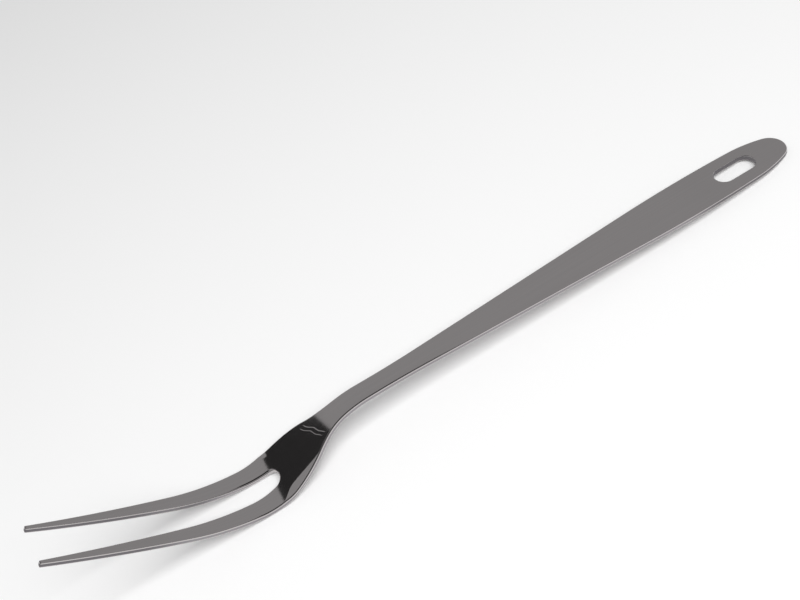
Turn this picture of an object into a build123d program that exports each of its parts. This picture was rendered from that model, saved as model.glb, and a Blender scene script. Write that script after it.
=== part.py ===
from build123d import *
import math
import os

# A two-tined serving fork pressed from one strip of stainless steel sheet.
# It is drawn with the handle level, X running from the handle's end to the tips and Y across,
# and is then tipped to the way it lies on a table, on its handle's end and the sole of its head.
# Every line is a chain of straight stretches and tangent arcs: it is given by marks along
# the line, in millimetres, and the heading at each mark, in degrees.

# Driving dimensions, in millimetres and degrees

sheet = 2.4                      # thickness of the steel
edge_radius = 0.6                # rounding of the outline's edges
slot_edge_radius = 0.25          # rounding of the hanging slot's edges

# Side view: along the upper face from the handle's end, headings up positive
side_marks = [0.0, 203.7, 223.5, 246.3, 260.6, 287.0, 340.0]
side_headings = [0.0, 0.0, -26.5, -26.5, 9.3, 27.9, 33.1]

# Plan: along one side of the outline from the middle of the handle's end, headings outward positive
outline_marks = [0.0, 8.8, 25.0, 79.7, 182.0, 218.7, 231.6, 253.9, 360.0]
outline_headings = [90.0, 19.6, 2.5, -2.75, -2.75, 2.5, 27.2, -2.4, -2.4]

# Plan: along one side of the gap between the tines from the deepest point of its crotch
crotch = 244.0                   # distance from the handle's end
crotch_radius = 3.8
gap_stretches = [12.5, 85.0]     # lengths after the round crotch
gap_headings = [90.0, 7.0, 1.7, 3.8]

# Bevel along both outer sides of the head
bevel_width = 3.6                # from its inner line to the outline, at the widest part of the head
bevel_slope = 0.17               # fall for each millimetre outward
bevel_clearance = 1.0            # how far outside the outline its inner line starts and ends
bevel_start = 220.0
bevel_full = 245.0
bevel_end = 254.0

# Hanging slot
slot_centre = 25.3
slot_length = 19.4
slot_width = 9.0

# Sizes of the raw sheet and of the cutting bodies, larger than the fork
sheet_half_width = 16.0
prism_height = 120.0
cutter_width = 6.0
cutter_height = 2.0
cutter_sections = 12


def walk(marks, headings, distance):
    """Forward and sideways position, and heading in radians, at a distance along a chain."""
    forward = 0.0
    side = 0.0
    heading = math.radians(headings[0])
    for k in range(len(marks) - 1):
        length = marks[k + 1] - marks[k]
        step = min(distance - marks[k], length)
        if step <= 0:
            break
        start = math.radians(headings[k])
        turn = (math.radians(headings[k + 1]) - start) * step / length
        heading = start + turn
        if turn == 0:
            forward += step * math.cos(start)
            side += step * math.sin(start)
        else:
            forward += step / turn * (math.sin(heading) - math.sin(start))
            side += step / turn * (math.cos(start) - math.cos(heading))
    return forward, side, heading


def chain(marks, headings, place):
    """Lines and arcs of a chain, with a function that gives the point at a distance along it."""
    edges = []
    for k in range(len(marks) - 1):
        first = place(marks[k])
        last = place(marks[k + 1])
        if headings[k] == headings[k + 1]:
            edges.append(Line(first, last))
        else:
            edges.append(ThreePointArc(first, place((marks[k] + marks[k + 1]) / 2), last))
    return edges


def prism(edges):
    """Tall prism on a plan that mirrors a chain about the X axis and closes its open end."""
    mirrored = [edge.mirror(Plane.XZ) for edge in edges]
    closing = Line(edges[-1] @ 1, mirrored[-1] @ 1)
    outline = Face(Wire(edges + mirrored + [closing]))
    return extrude(Pos(0, 0, -prism_height / 2) * outline, prism_height, dir=(0, 0, 1))


def outline_point(distance):
    """Plan position along the outline."""
    x, y, heading = walk(outline_marks, outline_headings, distance)
    return Vector(x, y, 0)


def blank():
    """The cut-out strip with its rounded handle end, run on past the tips."""
    return prism(chain(outline_marks, outline_headings, outline_point))


def gap():
    """Space between the tines with its round crotch, run on past the tips."""
    cap = crotch_radius * math.radians(gap_headings[0] - gap_headings[1])
    marks = [0.0, cap, cap + gap_stretches[0], cap + sum(gap_stretches)]

    def gap_point(distance):
        x, y, heading = walk(marks, gap_headings, distance)
        return Vector(crotch + x, y, 0)

    return prism(chain(marks, gap_headings, gap_point))


def slot():
    """The hanging slot through the handle."""
    return Pos(slot_centre, 0, 0) * extrude(SlotOverall(slot_length, slot_width), 2 * sheet, both=True)


def face_point(distance, depth):
    """Point at a distance along the side view and a depth below the upper face."""
    x, z, heading = walk(side_marks, side_headings, distance)
    return Vector(x + depth * math.sin(heading), 0, z - depth * math.cos(heading))


def pressed_sheet():
    """Wide sheet bent to the side view's line."""
    upper = chain(side_marks, side_headings, lambda distance: face_point(distance, 0.0))
    lower = chain(side_marks, side_headings, lambda distance: face_point(distance, sheet))
    handle_end = Line(upper[0] @ 0, lower[0] @ 0)
    tip_end = Line(upper[-1] @ 1, lower[-1] @ 1)
    profile = Face(Wire(upper + lower + [handle_end, tip_end]))
    return extrude(profile, sheet_half_width, dir=(0, 1, 0), both=True)


def ease(t):
    """Rise from 0 to 1 with level ends."""
    t = min(max(t, 0.0), 1.0)
    return t * t * (3 - 2 * t)


def half_width(x):
    """Distance of the outline from the middle at a plan position."""
    distance = x
    for attempt in range(20):
        forward, side, heading = walk(outline_marks, outline_headings, distance)
        distance += x - forward
    return side


def bevel_line(distance):
    """Distance of the bevel's inner line from the middle at a distance along the side view."""
    rise = ease((distance - bevel_start) / (bevel_full - bevel_start))
    fall = ease((distance - bevel_full) / (bevel_end - bevel_full))
    width = (bevel_width + bevel_clearance) * (rise - fall) - bevel_clearance
    return half_width(walk(side_marks, side_headings, distance)[0]) - width


def cutter_section(distance, side):
    """Section of what lies outside the bevel, its sloping side run on over the inner line."""
    inner = bevel_line(distance) - cutter_height / 2
    outer = bevel_line(distance) + cutter_width
    inner_depth = -bevel_slope * cutter_height / 2
    outer_depth = bevel_slope * cutter_width
    corners = [(inner, inner_depth), (outer, outer_depth), (outer, -cutter_height), (inner, -cutter_height)]
    return Wire.make_polygon([face_point(distance, depth) + Vector(0, side * y, 0) for y, depth in corners])


def bevel(side):
    """What the bevel takes off one side of the head, with side 1 or -1."""
    step = (bevel_end - bevel_start) / cutter_sections
    stops = [bevel_start + k * step for k in range(cutter_sections + 1)]
    return Solid.make_loft([cutter_section(distance, side) for distance in stops])


def rest_tilt():
    """Angle of the line from the underside of the handle's end to the sole of the head."""
    slopes = []
    for k in range(400, 601):
        sole = face_point(k / 2, sheet)
        slopes.append((-sheet - sole.Z) / (sole.X - edge_radius))
    return math.degrees(math.atan(max(slopes)))


def fork():
    """The finished fork, lying as on a table, its origin under the middle of its box."""
    body = pressed_sheet() & blank()
    body = body - gap()
    body = fillet([edge for edge in body.edges() if edge.length > 10], edge_radius)
    body = body - bevel(1) - bevel(-1)
    plain_edges = body.edges()
    body = body - slot()
    rim_edges = [edge for edge in body.edges() - plain_edges if edge.length > 5]
    body = fillet(rim_edges, slot_edge_radius)
    body = Rot(0, -rest_tilt(), 0) * body
    box = body.bounding_box()
    return Pos(-box.center().X, -box.center().Y, -box.min.Z) * body


os.makedirs("parts", exist_ok=True)
export_step(fork(), "parts/fork.step")
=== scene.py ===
import functools
import math
from collections import namedtuple

import bpy
from mathutils import Euler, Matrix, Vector

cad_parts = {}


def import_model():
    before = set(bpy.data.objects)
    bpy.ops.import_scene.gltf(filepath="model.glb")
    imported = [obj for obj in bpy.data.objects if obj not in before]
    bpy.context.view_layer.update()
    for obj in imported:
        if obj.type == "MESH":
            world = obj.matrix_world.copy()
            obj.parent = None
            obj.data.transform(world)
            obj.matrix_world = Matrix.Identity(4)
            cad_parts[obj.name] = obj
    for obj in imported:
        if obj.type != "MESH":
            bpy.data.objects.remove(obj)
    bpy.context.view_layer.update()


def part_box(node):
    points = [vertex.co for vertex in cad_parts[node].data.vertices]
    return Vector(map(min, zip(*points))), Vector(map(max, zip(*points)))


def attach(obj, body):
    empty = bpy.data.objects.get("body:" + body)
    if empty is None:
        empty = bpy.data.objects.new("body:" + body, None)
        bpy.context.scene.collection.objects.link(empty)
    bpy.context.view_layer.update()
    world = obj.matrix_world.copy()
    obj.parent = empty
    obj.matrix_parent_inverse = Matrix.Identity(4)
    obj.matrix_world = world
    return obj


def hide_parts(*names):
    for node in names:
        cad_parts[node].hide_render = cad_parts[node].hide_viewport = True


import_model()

# The fork's own dimensions, in millimetres and degrees, with its handle level and X from the
# handle's end to the tips. A chain is a line of stretches and tangent arcs, given by marks
# along it and the heading at each mark.
SHEET = 2.4                      # thickness of the steel
EDGE_RADIUS = 0.6                # rounding of the outline's and the gap's edges

# Side view, along the upper face
SIDE_MARKS = [0.0, 203.7, 223.5, 246.3, 260.6, 287.0, 340.0]
SIDE_HEADINGS = [0.0, 0.0, -26.5, -26.5, 9.3, 27.9, 33.1]
LENGTH = SIDE_MARKS[-1]

# Plan, along one side of the outline from the middle of the handle's end
OUTLINE_MARKS = [0.0, 8.8, 25.0, 79.7, 182.0, 218.7, 231.6, 253.9, 360.0]
OUTLINE_HEADINGS = [90.0, 19.6, 2.5, -2.75, -2.75, 2.5, 27.2, -2.4, -2.4]

# Plan, along one side of the gap between the tines from the deepest point of its crotch
CROTCH = 244.0
CROTCH_RADIUS = 3.8
GAP_HEADINGS = [90.0, 7.0, 1.7, 3.8]
GAP_CAP = CROTCH_RADIUS * math.radians(GAP_HEADINGS[0] - GAP_HEADINGS[1])
GAP_MARKS = [0.0, GAP_CAP, GAP_CAP + 12.5, GAP_CAP + 97.5]

# Plan, along one side of the hanging slot from its end nearer the handle's end
SLOT_START = 15.6
SLOT_WIDTH = 9.0
SLOT_STRAIGHT = 10.4
SLOT_END = SLOT_START + SLOT_WIDTH + SLOT_STRAIGHT
SLOT_CAP = SLOT_WIDTH / 2 * math.pi / 2
SLOT_MARKS = [0.0, SLOT_CAP, SLOT_CAP + SLOT_STRAIGHT, 2 * SLOT_CAP + SLOT_STRAIGHT]
SLOT_HEADINGS = [90.0, 0.0, 0.0, -90.0]
SLOT_EDGE_RADIUS = 0.25

# Bevel along both outer sides of the head
BEVEL_WIDTH = 3.6
BEVEL_SLOPE = 0.17
BEVEL_CLEARANCE = 1.0            # how far outside the outline its inner line starts and ends
BEVEL_START = 220.0
BEVEL_FULL = 245.0
BEVEL_END = 254.0
BEVEL_SOFTNESS = 0.35            # half width of the rounding along its inner line

TIP_RADIUS = 0.4                 # rounding round the flat end of a tine
LIP_RADIUS = 1.1                 # rounding of the gap's edges at the crotch
LIP_LENGTH = 36.0                # over which it eases to that of the other edges

# A cut through the sheet: its chain, where the chain starts, which side of it the steel is on
# and the rounding of its edges
Cut = namedtuple("Cut", "marks headings start steel_side radius")
OUTLINE = Cut(OUTLINE_MARKS, OUTLINE_HEADINGS, 0.0, -1.0, EDGE_RADIUS)
GAP = Cut(GAP_MARKS, GAP_HEADINGS, CROTCH, 1.0, EDGE_RADIUS)
SLOT = Cut(SLOT_MARKS, SLOT_HEADINGS, SLOT_START, 1.0, SLOT_EDGE_RADIUS)

# Where a cut's wall meets a face: developed length, distance across, the wall's outward normal
# and the edge's rounding
Corner = namedtuple("Corner", "u y wall radius")

# A vertex: its place and normal, and its developed length, distance across and depth
Spot = namedtuple("Spot", "place normal u y depth")

# Spans of cross-sections as far as the tines: first and last distance along the outline, the
# cut inside it, from where to where inside (along the cut, or else along the middle line),
# the steps, and whether the last section is made or left to the next span
Span = namedtuple("Span", "first last cut start end steps with_last")
PLAIN_HANDLE = 55.1
NECK = 200.0
TINES = 254.0
SPANS = [
    Span(0.0, 15.0, None, 8.0, SLOT_START - SLOT_EDGE_RADIUS, 18, False),
    Span(15.0, 24.8, SLOT, SLOT_MARKS[0], SLOT_MARKS[1], 14, False),
    Span(24.8, 34.7, SLOT, SLOT_MARKS[1], SLOT_MARKS[2], 6, False),
    Span(34.7, 44.5, SLOT, SLOT_MARKS[2], SLOT_MARKS[3], 14, True),
    Span(44.5, 60.0, None, SLOT_END + SLOT_EDGE_RADIUS, PLAIN_HANDLE, 8, False),
    Span(60.0, 204.9, None, PLAIN_HANDLE, NECK, 50, False),
    Span(204.9, 243.5, None, NECK, CROTCH - LIP_RADIUS, 60, False),
    Span(243.5, TINES, GAP, GAP_MARKS[0], GAP_MARKS[1], 24, True),
]
TINE_STEPS = 84

# Where the vertices of a cross-section stand: from its inside to its outer edge on a face, and
# steps round an edge, down a wall and over the tip's rounding
COLUMNS = [
    0.0, 0.04, 0.1, 0.2, 0.32, 0.42, 0.5, 0.57, 0.63,
    0.68, 0.73, 0.77, 0.81, 0.85, 0.89, 0.93, 0.97, 1.0,
]
FILLET_STEPS = 4
WALL_STEPS = 3
TIP_STEPS = 3

DEPTHS = (0.0, SHEET)            # of the upper and the lower face
OUTLINE_TRIES = 12               # to find where the outline is level with a place
LEAST_COSINE = 0.5               # of the outline's heading, so that no try goes too far
SOLVE_TRIES = 20                 # to find a place on a face
CLOSE = 1e-6                     # a distance that counts as none
SMALL_ANGLE = 1e-4               # an angle in radians that counts as none
SLOPE_STEP = 0.02                # to measure a face's slope over, both ways
TIP_STEP = 0.1                   # to measure the tine's direction over at its tip
SOLE_FIRST = 200.0               # the part of the length in which the sole lies
SOLE_LAST = 300.0
SOLE_STEP = 0.5
MM_PER_METRE = 1000.0

# Steel. A grain's scale is per millimetre along the strip, across it and through it.
BRUSHING = (0.06, 7.0, 7.0)
STREAKS = (0.012, 1.1, 1.1)
SMUDGES = (0.045, 0.09, 0.09)
SCRATCHES = (0.11, 5.0, 5.0)
SCRATCH_TURN = 24.0              # degrees away from the strip's length
SCRATCH_LEVELS = (0.70, 0.74)    # of the noise, between which a scratch begins
SHEARING = (5.0, 5.0, 0.35)
FACE_DARK = (0.555, 0.528, 0.530)
FACE_LIGHT = (0.610, 0.580, 0.582)
# sheared walls darker: partly their duller finish, partly painted shade for the shadowed floor that
# they mirror
WALL_COLOUR_WITH_SHADE = (0.30, 0.285, 0.30)
# painted shade: a dark colour on the edges and walls at both ends, so that they show no highlight
EDGE_SHADE_COLOUR = (0.18, 0.17, 0.18)
WALL_DEPTH = 0.35                # under a face, where the wall's finish and its painted shade are full
DULL_SHADE_DEPTHS = (-0.004, 0.03)     # under a face, between which a dull edge with painted shade begins
DULL_SHADE_MIDDLE = 172.0              # the edges are dull and darkened with painted shade far from this developed length
DULL_SHADE_DISTANCES = (112.0, 132.0)  # from it, between which they turn dull and painted dark
ROUGHNESS = 0.05
ROUGH_BRUSHING = 0.04
ROUGH_STREAKS = 0.02
ROUGH_SMUDGES = 0.03
ROUGH_SCRATCHES = 0.10
ROUGH_WALL = 0.18
ROUGH_DULL = 0.15
GRAIN_STRENGTH = 0.12
GRAIN_HEIGHT = 0.00002           # metres

# Two faint marks that the press left across the foot of the neck
PRESS_MARKS = ((226.6, 0.42), (228.3, 0.32))   # developed length and half width of each
PRESS_WAVE = (0.0, 0.3, 0.0)     # scale of the noise that bends them
PRESS_WAVE_SIZE = 1.6
PRESS_SLANT = 0.5                # along per distance across
PRESS_MIDDLE = -1.0              # distance across of their middle
PRESS_ENDS = (3.5, 6.0)          # distances from it between which they fade
PRESS_FADE_DEPTH = 0.3
PRESS_STRENGTH = 1.0
PRESS_HEIGHT = 0.00003           # metres

# Camera and studio, in metres and degrees
CAMERA_LENS = 52.532
CAMERA_SENSOR = 36.0
CAMERA_CLIP = 0.01
CAMERA_PLACE = (0.09366, 0.28412, 0.33648)
CAMERA_TURN = (43.3222, 15.2135, 148.6172)
FLOOR_SIZE = 6.0
FLOOR_COLOUR = (0.9, 0.9, 0.9)
FLOOR_ROUGHNESS = 0.8
WORLD_STRENGTH = 0.35
CARD_GLOW = 0.03                 # of the two dark cards
HEAD_CENTRE = (0.072, 0.0, 0.008)
DARK_CARD_DISTANCE = 0.243
DARK_CARD_COLUMNS = 8
DARK_CARD = [                    # elevation, and the azimuths at which it starts and ends there
    (6.0, -76.0, -20.0),
    (16.0, -74.0, -20.0),
    (24.0, -70.0, -20.0),
    (30.0, -63.0, -20.0),
    (34.0, -59.6, -20.0),
    (36.0, -59.6, -20.0),
    (38.5, -59.8, -29.0),
    (41.0, -60.2, -38.0),
    (46.0, -62.0, -50.0),
    (50.0, -64.5, -63.5),
]
BLACK_FLAG_STEPS = 12


def walk(marks, headings, distance):
    """Forward and sideways position, and heading in radians, at a distance along a chain."""
    forward = 0.0
    side = 0.0
    heading = math.radians(headings[0])
    for k in range(len(marks) - 1):
        length = marks[k + 1] - marks[k]
        step = min(distance - marks[k], length)
        if step <= 0:
            break
        start = math.radians(headings[k])
        turn = (math.radians(headings[k + 1]) - start) * step / length
        heading = start + turn
        if turn == 0:
            forward += step * math.cos(start)
            side += step * math.sin(start)
        else:
            forward += step / turn * (math.sin(heading) - math.sin(start))
            side += step / turn * (math.cos(start) - math.cos(heading))
    return forward, side, heading


def ease(t):
    """Rise from 0 to 1 with level ends."""
    t = min(max(t, 0.0), 1.0)
    return t * t * (3 - 2 * t)


@functools.cache
def bevel_line(u):
    """Distance of the bevel's inner line from the middle at a developed length."""
    x = walk(SIDE_MARKS, SIDE_HEADINGS, u)[0]
    distance = x
    for _ in range(OUTLINE_TRIES):
        forward, side, heading = walk(OUTLINE_MARKS, OUTLINE_HEADINGS, distance)
        distance += (x - forward) / max(math.cos(heading), LEAST_COSINE)
    rise = ease((u - BEVEL_START) / (BEVEL_FULL - BEVEL_START))
    fall = ease((u - BEVEL_FULL) / (BEVEL_END - BEVEL_FULL))
    return side - (BEVEL_WIDTH + BEVEL_CLEARANCE) * (rise - fall) + BEVEL_CLEARANCE


def bevel_drop(u, y):
    """How far the bevelled upper face lies under the flat one."""
    if not BEVEL_START < u < BEVEL_END:
        return 0.0
    outside = abs(y) - bevel_line(u)
    return BEVEL_SLOPE * (outside + math.hypot(outside, BEVEL_SOFTNESS)) / 2


def face_point(u, y, depth):
    """Point of a face, the upper one at depth 0 or the lower one at the sheet's full depth,
    at a developed length u and a distance y across."""
    x, z, heading = walk(SIDE_MARKS, SIDE_HEADINGS, u)
    lift = -depth if depth > 0 else -bevel_drop(u, y)
    return Vector((x - math.sin(heading) * lift, y, z + math.cos(heading) * lift))


def face_normal(u, y, depth):
    """Outward normal of a face."""
    ahead = face_point(u + SLOPE_STEP, y, depth) - face_point(u - SLOPE_STEP, y, depth)
    across = face_point(u, y + SLOPE_STEP, depth) - face_point(u, y - SLOPE_STEP, depth)
    normal = ahead.cross(across).normalized()
    return -normal if depth > 0 else normal


def length_over(x, y, depth):
    """Developed length of a face's point over a plan position."""
    u = x
    for _ in range(SOLVE_TRIES):
        miss = x - face_point(u, y, depth).x
        u += miss / math.cos(walk(SIDE_MARKS, SIDE_HEADINGS, u)[2])
        if abs(miss) < CLOSE:
            break
    return u


def edge_radius(cut, u):
    """Rounding of a cut's edges at a developed length, wider round the crotch."""
    radius = cut.radius
    if cut is GAP:
        radius += (LIP_RADIUS - radius) * (1 - ease((u - CROTCH) / LIP_LENGTH))
    return radius


def wall_normal(cut, heading):
    """Outward normal of a cut's wall where its chain has a heading."""
    return Vector((math.sin(heading), -math.cos(heading), 0.0)) * cut.steel_side


def corner_on(cut, distance, depth):
    """A cut's corner at a distance along its chain."""
    forward, side, heading = walk(cut.marks, cut.headings, distance)
    u = length_over(cut.start + forward, side, depth)
    return Corner(u, side, wall_normal(cut, heading), edge_radius(cut, u))


def corner_at(cut, u, depth):
    """A cut's corner at a developed length, along a tine."""
    distance = face_point(u, 0.0, depth).x - cut.start
    for _ in range(SOLVE_TRIES):
        forward, side, heading = walk(cut.marks, cut.headings, distance)
        distance += (face_point(u, side, depth).x - cut.start - forward) / math.cos(heading)
    return Corner(u, side, wall_normal(cut, heading), edge_radius(cut, u))


def blend_normals(a, b, t):
    """Unit vector part of the way round from one unit vector to another."""
    angle = a.angle(b)
    if angle < SMALL_ANGLE:
        return a.copy()
    return (a * math.sin((1 - t) * angle) + b * math.sin(t * angle)) / math.sin(angle)


def rounded_edge(corner, depth):
    """Spots round an edge, from the face to the wall."""
    face = face_normal(corner.u, corner.y, depth)
    point = face_point(corner.u, corner.y, depth)
    centre = point - (face + corner.wall) * (corner.radius / (1.0 + face.dot(corner.wall)))
    spots = []
    for k in range(FILLET_STEPS + 1):
        normal = blend_normals(face, corner.wall, k / FILLET_STEPS)
        place = centre + normal * corner.radius
        spots.append(Spot(place, normal, corner.u, place.y, depth))
    return spots


def wall_spots(upper, lower):
    """Spots down a wall between the last ones of its two rounded edges."""
    spots = []
    for k in range(1, WALL_STEPS):
        t = k / WALL_STEPS
        place = upper.place.lerp(lower.place, t)
        normal = blend_normals(upper.normal, lower.normal, t)
        spots.append(Spot(place, normal, upper.u + (lower.u - upper.u) * t, place.y, SHEET * t))
    return spots


def face_spots(start, end, depth):
    """Spots across a face between two places given by developed length and distance across."""
    spots = []
    for t in COLUMNS:
        u = start[0] + (end[0] - start[0]) * t
        y = start[1] + (end[1] - start[1]) * t
        spots.append(Spot(face_point(u, y, depth), face_normal(u, y, depth), u, y, depth))
    return spots


def face_place(edge, depth):
    """Developed length and distance across at which a rounded edge leaves its face."""
    place = edge[0].place
    return length_over(place.x, place.y, depth), place.y


def section(outer, inner, middle):
    """Half of a cross-section in two lists: the upper face, outer wall and lower face, and the
    inner wall where there is one. outer and inner are corners on the upper and lower faces,
    and middle is the place on the middle line where no cut is inside."""
    outer_edges = [rounded_edge(corner, depth) for corner, depth in zip(outer, DEPTHS)]
    inside = []
    if inner is None:
        starts = [(length_over(middle, 0.0, depth), 0.0) for depth in DEPTHS]
    else:
        inner_edges = [rounded_edge(corner, depth) for corner, depth in zip(inner, DEPTHS)]
        starts = [face_place(edge, depth) for edge, depth in zip(inner_edges, DEPTHS)]
        inside = inner_edges[1][1:] + wall_spots(inner_edges[0][-1], inner_edges[1][-1])[::-1]
        inside += inner_edges[0][:0:-1]
    faces = []
    for start, edge, depth in zip(starts, outer_edges, DEPTHS):
        faces.append(face_spots(start, face_place(edge, depth), depth))
    outside = faces[0] + outer_edges[0][1:] + wall_spots(outer_edges[0][-1], outer_edges[1][-1])
    outside += outer_edges[1][:0:-1] + faces[1][::-1]
    return outside, inside


def span_section(span, t):
    """Cross-section part of the way along a span."""
    distance = span.first + (span.last - span.first) * t
    value = span.start + (span.end - span.start) * t
    outer = [corner_on(OUTLINE, distance, depth) for depth in DEPTHS]
    if span.cut is None:
        return section(outer, None, value)
    return section(outer, [corner_on(span.cut, value, depth) for depth in DEPTHS], None)


def tine_section(lengths, t):
    """Cross-section part of the way from a tine's root to its tip. lengths holds the developed
    lengths of the root's corners: outer upper, outer lower, inner upper and inner lower."""
    places = [(cut, depth) for cut in (OUTLINE, GAP) for depth in DEPTHS]
    corners = []
    for (cut, depth), u in zip(places, lengths):
        corners.append(corner_at(cut, u + (LENGTH - TIP_RADIUS - u) * t, depth))
    return section(corners[:2], corners[2:], None)


def fork_sections():
    """Cross-sections of the half on the near side, from the handle's end to the tip."""
    sections = []
    for span in SPANS:
        first = 1 if sections and span.cut is None else 0
        last = span.steps if span.with_last else span.steps - 1
        for k in range(first, last + 1):
            sections.append(span_section(span, k / span.steps))
    lengths = []
    for cut, distance in ((OUTLINE, TINES), (GAP, GAP_MARKS[1])):
        for depth in DEPTHS:
            lengths.append(corner_on(cut, distance, depth).u)
    for k in range(1, TINE_STEPS + 1):
        sections.append(tine_section(lengths, k / TINE_STEPS))
    return sections


def over_tip(spot, ahead, angle):
    """A spot moved over the rounding of the tine's end, by an angle from its own normal."""
    inset = TIP_RADIUS * (1 - math.cos(angle))
    shift = ahead * (TIP_RADIUS * math.sin(angle))
    normal = (spot.normal * math.cos(angle) + ahead * math.sin(angle)).normalized()
    return spot._replace(place=spot.place - spot.normal * inset + shift, normal=normal)


def tip_sections(last):
    """Cross-sections that round the last one over to the flat end of the tine."""
    ahead = (face_point(LENGTH, 0.0, 0.0) - face_point(LENGTH - TIP_STEP, 0.0, 0.0)).normalized()
    sections = []
    for k in range(1, TIP_STEPS + 1):
        angle = math.pi / 2 * k / TIP_STEPS
        sections.append(tuple([over_tip(spot, ahead, angle) for spot in group] for group in last))
    return sections


def end_parts(outside, inside):
    """A cross-section's upper row and outer column, and its lower row and inner column. The
    rows run from the inside out and the columns from the top down."""
    width = len(COLUMNS)
    return outside[:width], outside[width:-width], outside[-width:][::-1], inside[::-1]


def end_filling(last):
    """Rows of spots on the flat end of the tine, between its inner and outer columns."""
    upper, outer, lower, inner = end_parts(*last)
    rows = []
    for first, final in zip(inner, outer):
        places = [first.place.lerp(final.place, t) for t in COLUMNS[1:-1]]
        rows.append([Spot(p, upper[0].normal, LENGTH, p.y, final.depth) for p in places])
    return rows


def quads(before, after):
    """Faces between two lines of vertex numbers."""
    return [(before[k], after[k], after[k + 1], before[k + 1]) for k in range(len(before) - 1)]


def half_mesh():
    """Spots and faces of the half on the near side, with its handle level."""
    spots = []
    faces = []

    def add(group):
        spots.extend(group)
        return list(range(len(spots) - len(group), len(spots)))

    sections = fork_sections()
    tips = tip_sections(sections[-1])
    numbered = [(add(outside), add(inside)) for outside, inside in sections + tips]
    for (before, before_inside), (after, after_inside) in zip(numbered, numbered[1:]):
        if before_inside and after_inside:
            before = before + before_inside + before[:1]
            after = after + after_inside + after[:1]
        faces += quads(before, after)
    upper, outer, lower, inner = end_parts(*numbered[-1])
    rows = [upper]
    for first, filling, final in zip(inner, end_filling(tips[-1]), outer):
        rows.append([first] + add(filling) + [final])
    rows.append(lower)
    for above, below in zip(rows, rows[1:]):
        faces += quads(above, below)
    return spots, faces


def across(vector):
    """A vector's mirror image in the middle plane."""
    return Vector((vector.x, -vector.y, vector.z))


def mirrored(spots, faces):
    """The half and its mirror image, sharing the spots on the middle plane."""
    both = []
    twins = {}
    for k, spot in enumerate(spots):
        if abs(spot.place.y) < CLOSE:
            twins[k] = k
            spot = spot._replace(place=Vector((spot.place.x, 0.0, spot.place.z)), y=0.0)
        both.append(spot)
    for k, spot in enumerate(spots):
        if k not in twins:
            twins[k] = len(both)
            both.append(spot._replace(place=across(spot.place), normal=across(spot.normal), y=-spot.y))
    return both, faces + [tuple(twins[v] for v in reversed(face)) for face in faces]


def rest_tilt():
    """Slope of the line from the underside of the handle's end to the sole of the head."""
    steps = int((SOLE_LAST - SOLE_FIRST) / SOLE_STEP)
    soles = [face_point(SOLE_FIRST + k * SOLE_STEP, 0.0, SHEET) for k in range(steps + 1)]
    return math.atan(max((-SHEET - sole.z) / (sole.x - EDGE_RADIUS) for sole in soles))


def make_fork():
    """The fork in metres, tipped as it rests and set into the CAD node's box."""
    spots, faces = mirrored(*half_mesh())
    turn = Euler((0.0, -rest_tilt(), 0.0)).to_matrix()
    points = [turn @ spot.place / MM_PER_METRE for spot in spots]
    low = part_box("fork")[0]
    shift = Vector((low.x - min(p.x for p in points), 0.0, low.z - min(p.z for p in points)))
    mesh = bpy.data.meshes.new("fork_steel")
    mesh.from_pydata([p + shift for p in points], [], faces)
    mesh.polygons.foreach_set("use_smooth", [True] * len(mesh.polygons))
    strip = mesh.attributes.new("strip", "FLOAT_VECTOR", "POINT")
    for k, spot in enumerate(spots):
        strip.data[k].vector = (spot.u, spot.y, spot.depth)
    mesh.normals_split_custom_set_from_vertices([turn @ spot.normal for spot in spots])
    mesh.validate()
    fork = bpy.data.objects.new("fork_steel", mesh)
    bpy.context.scene.collection.objects.link(fork)
    return fork


class Graph:
    """A new material and its shader, with short ways to add nodes."""

    def __init__(self, name):
        self.material = bpy.data.materials.new(name)
        self.material.use_nodes = True
        self.nodes = self.material.node_tree.nodes
        self.links = self.material.node_tree.links
        self.shader = self.nodes["Principled BSDF"]

    def feed(self, socket, value):
        """Give a socket another socket's value, a colour or a number."""
        if isinstance(value, bpy.types.NodeSocket):
            self.links.new(value, socket)
        elif isinstance(value, tuple):
            socket.default_value = (*value, 1.0)
        else:
            socket.default_value = value

    def math(self, operation, *values):
        """Result of an operation on sockets or numbers."""
        node = self.nodes.new("ShaderNodeMath")
        node.operation = operation
        for socket, value in zip(node.inputs, values):
            self.feed(socket, value)
        return node.outputs[0]

    def ramp(self, value, levels, outputs=(0.0, 1.0)):
        """Smooth change between two outputs as a value goes from one level to the other."""
        node = self.nodes.new("ShaderNodeMapRange")
        node.interpolation_type = "SMOOTHSTEP"
        self.feed(node.inputs["Value"], value)
        for name, number in zip(("From Min", "From Max", "To Min", "To Max"), levels + outputs):
            self.feed(node.inputs[name], number)
        return node.outputs[0]

    def blend(self, factor, a, b):
        """Colour part of the way between two."""
        node = self.nodes.new("ShaderNodeMix")
        node.data_type = "RGBA"
        self.feed(node.inputs["Factor"], factor)
        for socket, value in zip([s for s in node.inputs if s.type == "RGBA"], (a, b)):
            self.feed(socket, value)
        return [s for s in node.outputs if s.type == "RGBA"][0]

    def grain(self, place, scale, detail, turn=0.0):
        """Noise over the strip, turned by some degrees."""
        mapping = self.nodes.new("ShaderNodeMapping")
        mapping.inputs["Scale"].default_value = scale
        mapping.inputs["Rotation"].default_value = (0.0, 0.0, math.radians(turn))
        self.feed(mapping.inputs["Vector"], place)
        noise = self.nodes.new("ShaderNodeTexNoise")
        noise.inputs["Scale"].default_value = 1.0
        noise.inputs["Detail"].default_value = detail
        self.feed(noise.inputs["Vector"], mapping.outputs[0])
        return noise.outputs["Fac"]

    def bump(self, height, strength, distance):
        """A bump node over a height, up to a distance in metres."""
        node = self.nodes.new("ShaderNodeBump")
        node.inputs["Strength"].default_value = strength
        node.inputs["Distance"].default_value = distance
        self.feed(node.inputs["Height"], height)
        return node


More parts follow.
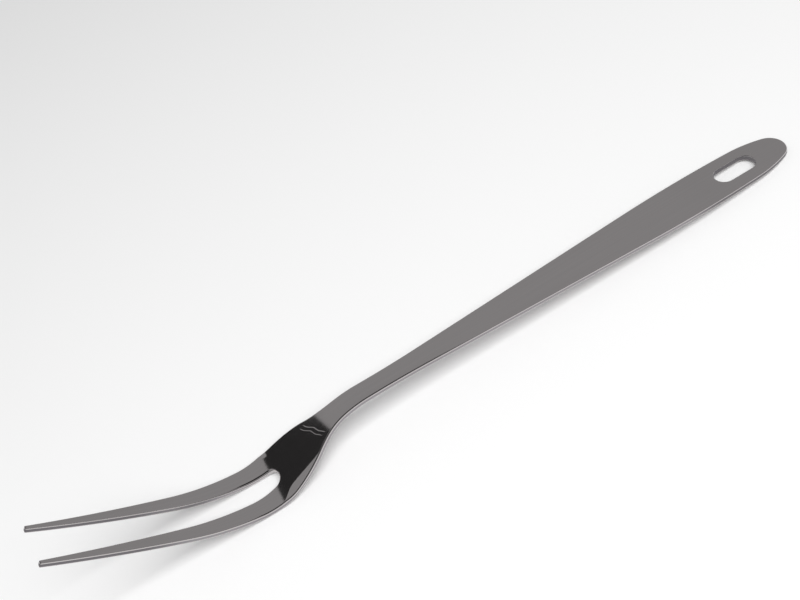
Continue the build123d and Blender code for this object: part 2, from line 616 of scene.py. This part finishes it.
def press_marks(graph, place, u, y, depth):
    """Height of the press marks: two wavy slanting lines on the upper face."""
    wave = graph.math("MULTIPLY", graph.grain(place, PRESS_WAVE, detail=0.0), PRESS_WAVE_SIZE)
    slant = graph.math("MULTIPLY", y, PRESS_SLANT)
    along = graph.math("ADD", graph.math("ADD", u, wave), slant)
    lines = 0.0
    for middle, half_width in PRESS_MARKS:
        away = graph.math("ABSOLUTE", graph.math("SUBTRACT", along, middle))
        lines = graph.math("ADD", lines, graph.ramp(away, (0.0, half_width), (1.0, 0.0)))
    on_top = graph.ramp(depth, (0.0, PRESS_FADE_DEPTH), (1.0, 0.0))
    sideways = graph.math("ABSOLUTE", graph.math("SUBTRACT", y, PRESS_MIDDLE))
    near_middle = graph.ramp(sideways, PRESS_ENDS, (1.0, 0.0))
    return graph.math("MULTIPLY", lines, graph.math("MULTIPLY", on_top, near_middle))


def steel():
    """Satin stainless steel: faces brushed lengthwise, sheared walls duller and darker, partly with
    painted shade, some wear, and dull edges at both ends of the fork, darkened with painted shade."""
    graph = Graph("stainless_steel")
    graph.shader.inputs["Metallic"].default_value = 1.0
    strip = graph.nodes.new("ShaderNodeAttribute")
    strip.attribute_name = "strip"
    place = strip.outputs["Vector"]
    parts = graph.nodes.new("ShaderNodeSeparateXYZ")
    graph.feed(parts.inputs[0], place)
    u, y, depth = parts.outputs

    inward = graph.math("MINIMUM", depth, graph.math("SUBTRACT", SHEET, depth))
    wall = graph.ramp(inward, (0.0, WALL_DEPTH))
    from_middle = graph.math("ABSOLUTE", graph.math("SUBTRACT", u, DULL_SHADE_MIDDLE))
    unpolished_and_shaded = graph.ramp(from_middle, DULL_SHADE_DISTANCES)
    # the edges at both ends turn rougher and also take painted shade
    dull_shaded_edge = graph.math("MULTIPLY", graph.ramp(inward, DULL_SHADE_DEPTHS), unpolished_and_shaded)

    brushing = graph.grain(place, BRUSHING, detail=3.0)
    streaks = graph.grain(place, STREAKS, detail=2.0)
    smudges = graph.grain(place, SMUDGES, detail=3.0)
    slanting = graph.grain(place, SCRATCHES, detail=1.0, turn=SCRATCH_TURN)
    scratches = graph.ramp(slanting, SCRATCH_LEVELS)
    shearing = graph.grain(place, SHEARING, detail=3.0)

    rough = ROUGHNESS
    for value, amount in (
        (brushing, ROUGH_BRUSHING),
        (streaks, ROUGH_STREAKS),
        (smudges, ROUGH_SMUDGES),
        (scratches, ROUGH_SCRATCHES),
        (wall, ROUGH_WALL),
        (dull_shaded_edge, ROUGH_DULL),
    ):
        rough = graph.math("ADD", rough, graph.math("MULTIPLY", value, amount))
    graph.feed(graph.shader.inputs["Roughness"], rough)

    # the walls' darker colour is partly painted shade
    face_and_wall_colour = graph.blend(wall, graph.blend(streaks, FACE_DARK, FACE_LIGHT), WALL_COLOUR_WITH_SHADE)
    # the edges at both ends are darkened with painted shade
    graph.feed(graph.shader.inputs["Base Color"], graph.blend(dull_shaded_edge, face_and_wall_colour, EDGE_SHADE_COLOUR))

    texture = graph.bump(graph.blend(wall, brushing, shearing), GRAIN_STRENGTH, GRAIN_HEIGHT)
    marks = graph.bump(press_marks(graph, place, u, y, depth), PRESS_STRENGTH, PRESS_HEIGHT)
    graph.feed(marks.inputs["Normal"], texture.outputs["Normal"])
    graph.feed(graph.shader.inputs["Normal"], marks.outputs["Normal"])
    return graph.material


def floor_material():
    graph = Graph("floor")
    graph.feed(graph.shader.inputs["Base Color"], FLOOR_COLOUR)
    graph.feed(graph.shader.inputs["Roughness"], FLOOR_ROUGHNESS)
    return graph.material


def glow(name, strength):
    """A material that gives off an even light."""
    graph = Graph(name)
    graph.nodes.clear()
    light = graph.nodes.new("ShaderNodeEmission")
    light.inputs["Strength"].default_value = strength
    output = graph.nodes.new("ShaderNodeOutputMaterial")
    graph.feed(output.inputs["Surface"], light.outputs[0])
    return graph.material


def camera():
    data = bpy.data.cameras.new("camera")
    data.lens = CAMERA_LENS
    data.sensor_width = CAMERA_SENSOR
    data.clip_start = CAMERA_CLIP
    obj = bpy.data.objects.new("camera", data)
    obj.location = CAMERA_PLACE
    obj.rotation_euler = [math.radians(angle) for angle in CAMERA_TURN]
    bpy.context.scene.collection.objects.link(obj)
    bpy.context.scene.camera = obj


def stage_object(name, points, faces, material):
    """A thing of the studio, which isn't part of the fork."""
    mesh = bpy.data.meshes.new(name)
    mesh.from_pydata(points, [], faces)
    mesh.materials.append(material)
    obj = bpy.data.objects.new(name, mesh)
    bpy.context.scene.collection.objects.link(obj)
    return obj


def floor():
    half = FLOOR_SIZE / 2
    corners = [(-half, -half, 0), (half, -half, 0), (half, half, 0), (-half, half, 0)]
    stage_object("floor", corners, [(0, 1, 2, 3)], floor_material())


def toward(azimuth, elevation, distance):
    """Place at a distance in a direction, whose azimuth is 0 along X and 90 along Y."""
    a = math.radians(azimuth)
    e = math.radians(elevation)
    return Vector((math.cos(a) * math.cos(e), math.sin(a) * math.cos(e), math.sin(e))) * distance


def reflector(name, points, faces):
    """A dark card that is seen only in reflections."""
    obj = stage_object(name, points, faces, glow(name, CARD_GLOW))
    obj.visible_camera = False
    obj.visible_diffuse = False
    obj.visible_shadow = False


def dark_card():
    """The dark side of the studio that the head mirrors, a curved card round the head."""
    points = []
    faces = []
    for k, (elevation, first, last) in enumerate(DARK_CARD):
        for j in range(DARK_CARD_COLUMNS + 1):
            azimuth = first + (last - first) * j / DARK_CARD_COLUMNS
            points.append(Vector(HEAD_CENTRE) + toward(azimuth, elevation, DARK_CARD_DISTANCE))
            if k and j:
                here = len(points) - 1
                above = here - DARK_CARD_COLUMNS - 1
                faces.append((above - 1, above, here, here - 1))
    reflector("dark_card", points, faces)


def black_flag(first, last, distance, ends):
    """A card bowed along X over the fork, between two angles up from the +Y side."""
    points = []
    faces = []
    for k in range(BLACK_FLAG_STEPS + 1):
        angle = math.radians(first + (last - first) * k / BLACK_FLAG_STEPS)
        for x in ends:
            points.append((x, math.cos(angle) * distance, math.sin(angle) * distance))
        if k:
            faces.append((2 * k - 2, 2 * k - 1, 2 * k + 1, 2 * k))
    reflector("black_flag", points, faces)


def softbox(azimuth, elevation, distance, width, height, radiance):
    """A soft light aimed at the middle of the fork, which the steel doesn't mirror."""
    light = bpy.data.lights.new("softbox", "AREA")
    light.shape = "RECTANGLE"
    light.size = width
    light.size_y = height
    light.energy = radiance * math.pi * width * height
    obj = bpy.data.objects.new("softbox", light)
    obj.location = toward(azimuth, elevation, distance)
    obj.rotation_euler = (-obj.location).to_track_quat("-Z", "Y").to_euler()
    obj.visible_glossy = False
    bpy.context.scene.collection.objects.link(obj)


def world():
    """Even white light from all sides."""
    studio = bpy.data.worlds.new("studio")
    studio.use_nodes = True
    background = studio.node_tree.nodes["Background"]
    background.inputs["Color"].default_value = (1, 1, 1, 1)
    background.inputs["Strength"].default_value = WORLD_STRENGTH
    bpy.context.scene.world = studio


fork = make_fork()
fork.data.materials.append(steel())
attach(fork, "root")
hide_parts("fork")

camera()
floor()
world()
softbox(azimuth=90.0, elevation=62.0, distance=1.3, width=1.4, height=1.0, radiance=4.2)
dark_card()
black_flag(first=42.0, last=103.0, distance=0.6, ends=(-0.16, 0.6))
bpy.context.scene.view_settings.view_transform = "Standard"
